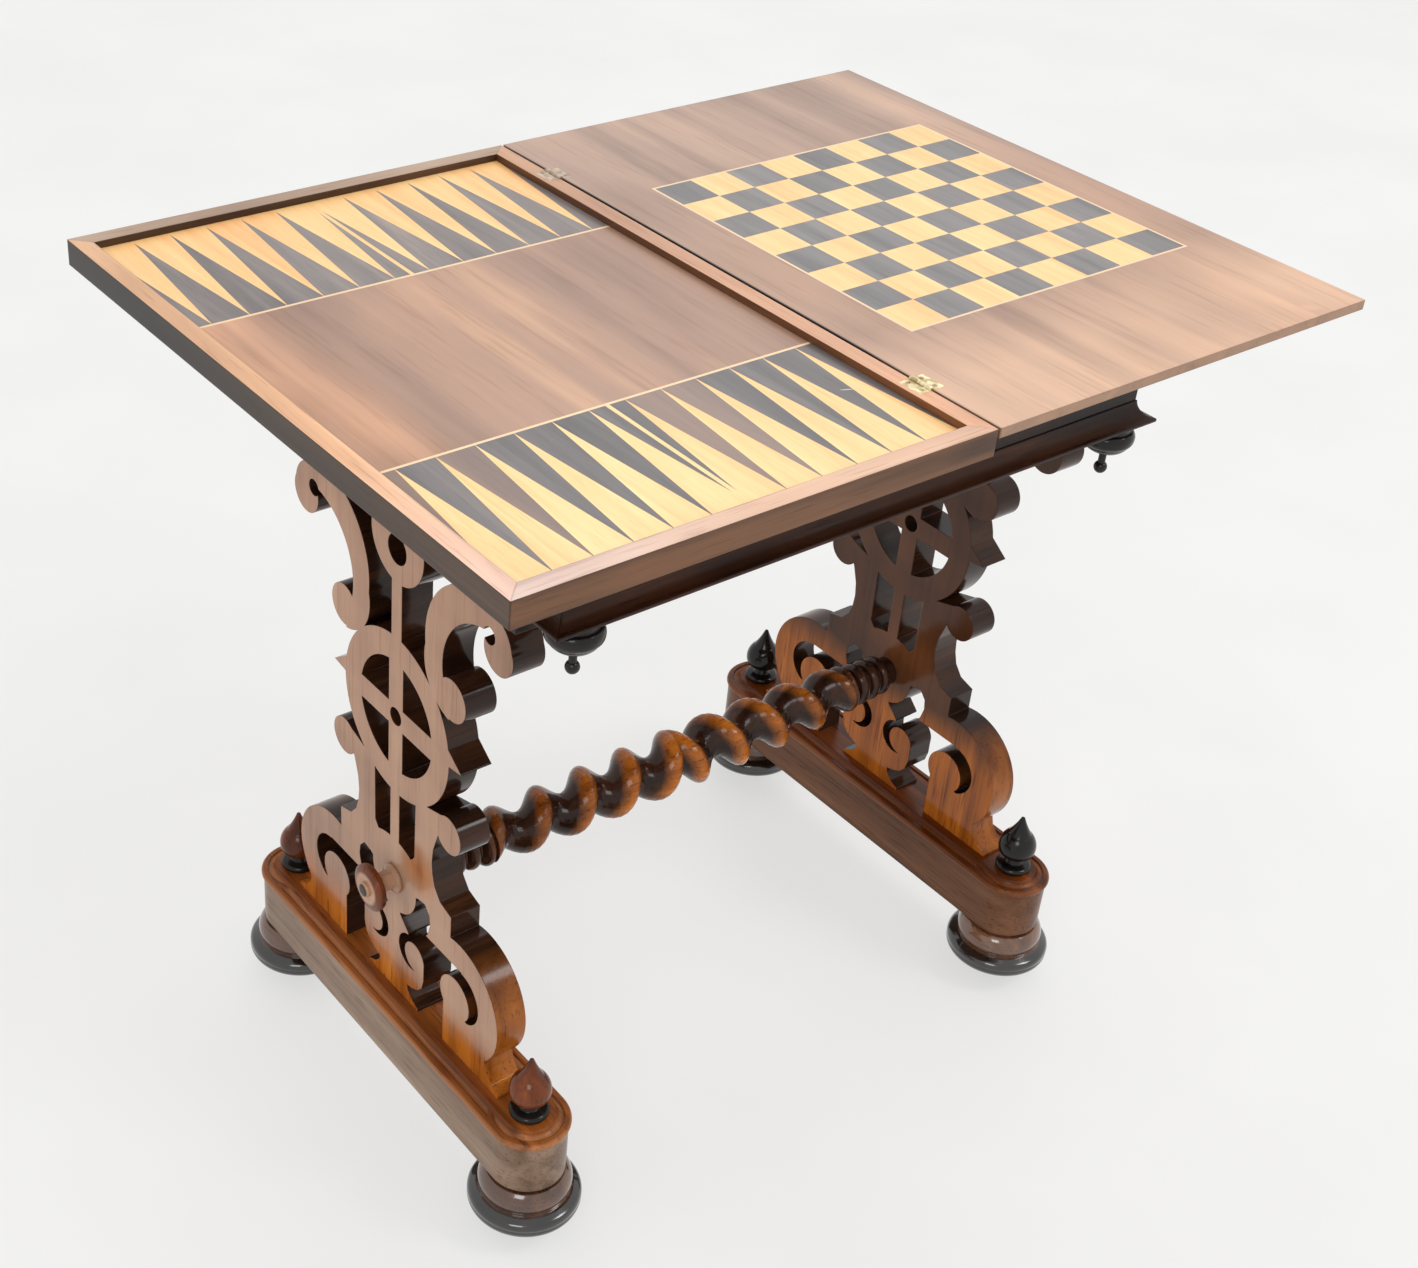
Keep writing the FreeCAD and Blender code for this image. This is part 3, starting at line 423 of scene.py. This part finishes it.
def barMaterial(name, bar):
    material, tree, shader = startMaterial(name)
    point, x, y, z = coordinates(tree)
    side, tone = woodColour(tree, point, barSide)
    bead = mix(tree, mouldings["warmShare"], side, woodColour(tree, point, warmWood)[0])
    plinth = woodColour(tree, point, barTop)[0]
    upper = tinted(tree, mix(tree, between(tree, z, *mouldings["plinth"]), bead, plinth), bar["top"])
    side = tinted(tree, side, bar["side"])
    polish(tree, shader, mix(tree, between(tree, z, *mouldings["bead"]), side, upper), tone, standFinish)
    return material


give(barMaterial("footBarLeft", bars["left"]), "foot_bar_left")
give(barMaterial("footBarRight", bars["right"]), "foot_bar_right")

twist = {"axis": 0.242, "ridgeFrom": (0.0212, 0.0283)}  # from dark valleys in painted shade to orange ridges
ridgeWood = dict(warmWood, along="X", colours=[(104, 52, 15), (150, 82, 24), (182, 105, 32), (212, 138, 54)])
valleyWood = dict(friezeWood, along="X")


def twistMaterial():  # painted shade in the dark valleys, worn orange on the ridges
    material, tree, shader = startMaterial("twist")
    point, x, y, z = coordinates(tree)
    reach = fromAxis(tree, y, z, twist["axis"])
    ridge, tone = woodColour(tree, point, ridgeWood)
    valley = woodColour(tree, point, valleyWood)[0]
    colour = mix(tree, between(tree, reach, *twist["ridgeFrom"]), valley, ridge)
    polish(tree, shader, colour, tone, glossFinish)
    return material


give(twistMaterial(), "stretcher")

blackWood = {"along": "Z", "streaks": 40.0, "clouds": 10.0, "figure": 0.6, "poreTint": (0.7, 0.7, 0.7, 1.0),
             "colours": [(14, 12, 12), (21, 18, 17), (31, 26, 24), (48, 39, 35)]}
bunWood = dict(standWood, colours=[(56, 33, 22), (82, 51, 33), (104, 68, 45), (126, 85, 57)])
foot = {"bunFrom": (0.0382, 0.0390)}
redWood = dict(standWood, along="Z", colours=[(57, 25, 11), (91, 43, 18), (118, 59, 26), (150, 82, 38)])
finial = {"bodyFrom": (0.1330, 0.1360)}


def footMaterial():  # brown bun above a black flange
    material, tree, shader = startMaterial("turnedFoot")
    point, x, y, z = coordinates(tree)
    flange, tone = woodColour(tree, point, blackWood)
    bun = woodColour(tree, point, bunWood)[0]
    polish(tree, shader, mix(tree, between(tree, z, *foot["bunFrom"]), flange, bun), tone, footFinish)
    return material


def finialMaterial():  # red-brown body on a black collar
    material, tree, shader = startMaterial("redTurning")
    point, x, y, z = coordinates(tree)
    body, tone = woodColour(tree, point, redWood)
    collar = woodColour(tree, point, blackWood)[0]
    polish(tree, shader, mix(tree, between(tree, z, *finial["bodyFrom"]), collar, body), tone, glossFinish)
    return material


corners = ["near_left", "near_right", "far_left", "far_right"]
give(footMaterial(), *["foot_" + corner for corner in corners])
drops = ["drop_" + corner for corner in corners]
give(plainWood("blackTurning", blackWood, blackFinish), "finial_near_right", "finial_far_right", *drops)
give(finialMaterial(), "finial_near_left", "finial_far_left")

stud = {"nub": 0.0052, "nubEdge": 0.001, "ring": 0.0125, "ringEdge": 0.003}
studFace = dict(fretFace, along="X")


def studMaterial():  # pale face ringed with brown, and a dark nub in the middle
    material, tree, shader = startMaterial("stud")
    point, x, y, z = coordinates(tree)
    reach = fromAxis(tree, y, z, twist["axis"])
    pale, tone = woodColour(tree, point, studFace)
    brown = woodColour(tree, point, redWood)[0]
    black = woodColour(tree, point, blackWood)[0]
    colour = mix(tree, between(tree, reach, stud["ring"], stud["ring"] + stud["ringEdge"]), pale, brown)
    colour = mix(tree, between(tree, reach, stud["nub"], stud["nub"] + stud["nubEdge"]), black, colour)
    polish(tree, shader, colour, tone, glossFinish)
    return material


give(studMaterial(), "stretcher_stud_left", "stretcher_stud_right")
friezeAcross = plainWood("friezeAcross", dict(friezeWood, along="X"), standFinish)
give(friezeAcross, "frieze_rail_near", "frieze_rail_far", "cove_near", "cove_far")
friezeAlong = plainWood("friezeAlong", friezeWood, standFinish)
give(friezeAlong, "frieze_rail_left", "frieze_rail_right", "cove_left", "cove_right",
     "bearer_left", "bearer_right")
deal = {"along": "X", "streaks": 60.0, "clouds": 6.0, "figure": 0.62, "poreTint": (0.8, 0.72, 0.62, 1.0),
        "colours": [(120, 84, 54), (150, 108, 70), (172, 128, 86), (190, 148, 104)]}
give(plainWood("innerDeal", deal, innerFinish), "well_board", "corner_blocks", "swivel_rail")
print("stand finished")

metals = {
    "hingeBrass": {"bright": (246, 232, 192), "dull": (190, 170, 126), "rough": 0.34},
    "dullBrass": {"bright": (212, 194, 178), "dull": (178, 158, 142), "rough": 0.50},
    "castorBrass": {"bright": (158, 122, 66), "dull": (78, 60, 40), "rough": 0.42},
    "swivelIron": {"bright": (92, 90, 88), "dull": (48, 46, 45), "rough": 0.5},
    "screwBrass": {"bright": (214, 186, 128), "dull": (120, 98, 62), "rough": 0.30},
}
tarnish = {"scale": 160.0, "detail": 4.0, "stops": (0.38, 0.62), "rougher": 0.15, "smoother": 0.10}


def metalMaterial(name):  # duller and rougher where it is tarnished
    material, tree, shader = startMaterial(name)
    metal = metals[name]
    clean = noise(tree, coordinates(tree)[0], even, tarnish["scale"], tarnish["detail"])
    stops = list(zip(tarnish["stops"], (srgb(*metal["dull"]), srgb(*metal["bright"]))))
    ends = (metal["rough"] + tarnish["rougher"], metal["rough"] - tarnish["smoother"])
    feed(tree, shader.inputs["Base Color"], ramp(tree, clean, stops))
    shader.inputs["Metallic"].default_value = 1.0
    feed(tree, shader.inputs["Roughness"], between(tree, clean, 0.0, 1.0, *ends))
    return material


give(metalMaterial("hingeBrass"), "hinge_pins", "hinge_tray_plate_near", "hinge_leaf_plate_near")
give(metalMaterial("dullBrass"), "hinge_tray_plate_far", "hinge_leaf_plate_far")
castorNames = ["castor_%s_%s" % (piece, corner) for piece in ("fork", "wheel") for corner in corners]
give(metalMaterial("castorBrass"), "castor_sockets", *castorNames)
give(metalMaterial("swivelIron"), "swivel_plate", "swivel_bolt", "swivel_washer", "swivel_nut")
print("metal finished")


def surface(name, grids, closed):  # grids of points, each cell a face, closed or open along the second index
    points = []
    faces = []
    for grid in grids:
        rows, columns = grid.shape[:2]
        i, j = np.meshgrid(np.arange(rows - 1), np.arange(columns if closed else columns - 1), indexing="ij")
        k = (j + 1) % columns
        cells = np.stack([i * columns + j, i * columns + k, (i + 1) * columns + k, (i + 1) * columns + j], -1)
        faces += (cells.reshape(-1, 4) + len(points)).tolist()
        points += grid.reshape(-1, 3).tolist()
    mesh = bpy.data.meshes.new(name)
    mesh.from_pydata(points, [], faces)
    mesh.polygons.foreach_set("use_smooth", [True] * len(mesh.polygons))
    mesh.update()
    piece = bpy.data.objects.new(name, mesh)
    bpy.context.collection.objects.link(piece)
    return piece


screw = {"radius": 0.0019, "rise": 0.0001, "sink": 0.0006, "level": 0.720, "sides": 24,
         "rings": (1.0, 1.0, 0.85, 0.6, 0.3, 0.02),  # shares of the radius, the first one sunk
         "aside": 0.0066, "apart": 0.0066, "hinge": 0.220}


def screwHeads(side):  # rings of radius r at rise * (1 - (r / radius)^2), with a skirt let into the plate
    rings = np.array(screw["rings"])
    levels = screw["rise"] * (1 - rings ** 2)
    levels[0] = -screw["sink"]
    turn = np.linspace(0, 2 * np.pi, screw["sides"], endpoint=False)
    grids = []
    for hinge in (-screw["hinge"], screw["hinge"]):
        for offset in (-screw["apart"], screw["apart"]):
            x = side * screw["aside"] + screw["radius"] * np.outer(rings, np.cos(turn))
            y = hinge + offset + screw["radius"] * np.outer(rings, np.sin(turn))
            z = screw["level"] + np.outer(levels, np.ones_like(turn))
            grids.append(np.stack([x, y, z], -1))
    return grids


screwBrass = metalMaterial("screwBrass")
for body, side in (("tray", -1.0), ("leaf", 1.0)):
    heads = surface("hinge_screws_" + body, screwHeads(side), True)
    heads.data.materials.append(screwBrass)
    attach(heads, body)
print("screws set")

ground = {"half": 12.0, "cloudScale": 3.0, "cloudDetail": 3.0, "rough": 0.7,
          "stops": [(0.3, srgb(136, 136, 134)), (0.7, srgb(144, 144, 143))],  # as seen
          "unseen": (226, 226, 224), "glow": (1.0, 1.0, 0.99, 1.0), "glowStrength": 0.58}
floorEnds = (-ground["half"], ground["half"])
floor = surface("floor", [np.array([[[x, y, 0.0] for x in floorEnds] for y in floorEnds])], False)


def floorMaterial():  # pale as it is seen, with light shadows, and no glow on the object
    material, tree, shader = startMaterial("paleFloor")
    cloud = noise(tree, coordinates(tree)[0], even, ground["cloudScale"], ground["cloudDetail"])
    path = add(tree, "ShaderNodeLightPath").outputs
    seen = maths(tree, "MAXIMUM", path["Is Glossy Ray"], path["Is Transmission Ray"])
    seen = maths(tree, "MAXIMUM", path["Is Camera Ray"], seen)
    colour = mix(tree, seen, srgb(*ground["unseen"]), ramp(tree, cloud, ground["stops"]))
    feed(tree, shader.inputs["Base Color"], colour)
    shader.inputs["Roughness"].default_value = ground["rough"]
    shader.inputs["Emission Color"].default_value = ground["glow"]
    feed(tree, shader.inputs["Emission Strength"], times(tree, seen, ground["glowStrength"]))
    return material


floor.data.materials.append(floorMaterial())

room = {"colour": (1.0, 1.0, 1.0, 1.0), "strength": 0.88}
world = bpy.data.worlds.new("room")
world.use_nodes = True
background = world.node_tree.nodes["Background"]
background.inputs["Color"].default_value = room["colour"]
background.inputs["Strength"].default_value = room["strength"]
bpy.context.scene.world = world

lampAim = (0.0, 0.0, 0.5)
lamps = [
    {"name": "overhead", "place": (0.4, 0.3, 3.2), "size": 2.0, "power": 5.0},
    {"name": "window", "place": (2.0, -2.3, 3.4), "size": 1.2, "power": 40.0},
    {"name": "farWindow", "place": (2.2, 2.3, 3.2), "size": 1.4, "power": 8.0},
    {"name": "sideFill", "place": (-2.4, -2.0, 2.6), "size": 1.2, "power": 26.0},
]
for lamp in lamps:
    data = bpy.data.lights.new(lamp["name"], "AREA")
    data.size = lamp["size"]
    data.energy = lamp["power"]
    light = bpy.data.objects.new(lamp["name"], data)
    light.location = lamp["place"]
    light.rotation_euler = (Vector(lampAim) - Vector(lamp["place"])).to_track_quat("-Z", "Y").to_euler()
    bpy.context.collection.objects.link(light)

view = {"focal": 2094.7, "middle": (551.0, 628.7), "frame": (1418.0, 1268.0),  # in pixels of the photograph
        "sensor": 36.0, "place": (-1.01, -1.11367, 1.38756), "right": (0.808751, -0.586104, 0.049029),
        "up": (0.295429, 0.476905, 0.827819), "back": (-0.50857, -0.655014, 0.558849)}
frameWidth, frameHeight = view["frame"]
cameraData = bpy.data.cameras.new("camera")
camera = bpy.data.objects.new("camera", cameraData)
cameraData.sensor_fit = "HORIZONTAL"
cameraData.sensor_width = view["sensor"]
cameraData.lens = view["focal"] / frameWidth * view["sensor"]
cameraData.shift_x = (frameWidth / 2 - view["middle"][0]) / frameWidth
cameraData.shift_y = (view["middle"][1] - frameHeight / 2) / frameWidth
bpy.context.collection.objects.link(camera)
turned = Matrix((view["right"], view["up"], view["back"])).transposed().to_4x4()
camera.matrix_world = Matrix.Translation(view["place"]) @ turned
bpy.context.scene.camera = camera
bpy.context.scene.view_settings.view_transform = "Standard"
print("stage set")
